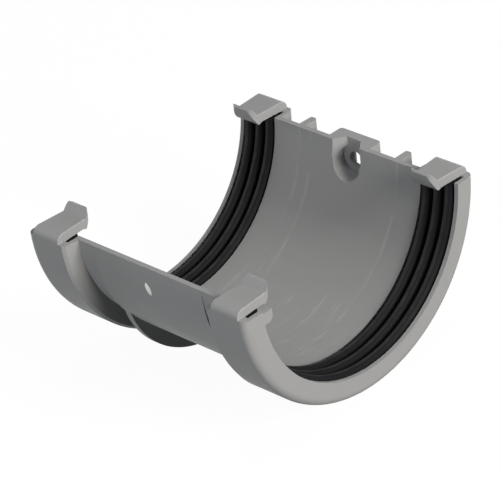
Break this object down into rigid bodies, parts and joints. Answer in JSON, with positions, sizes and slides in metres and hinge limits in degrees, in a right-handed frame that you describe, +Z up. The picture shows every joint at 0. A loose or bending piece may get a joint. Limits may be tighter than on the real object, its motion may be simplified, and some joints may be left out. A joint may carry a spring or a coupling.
{
  "type": "gutter union",
  "caption": "Half-round gutter union: a trough with a sealed, clipped socket at each end, a screw boss and bracket ribs on the fascia side.",
  "frame": {"origin": "on the gutter's axis, half way along the union", "axes": "+X along the gutter, +Y towards the fascia board, +Z up"},
  "size_m": [0.12, 0.134, 0.077],
  "materials": {
    "union_body": "injection-moulded grey PVC-U, satin",
    "seal": "black EPDM rubber, dull"
  },
  "bodies": {
    "root": {"union_body": "union_body", "seal_left": "seal", "seal_right": "seal"}
  },
  "joints": []
}
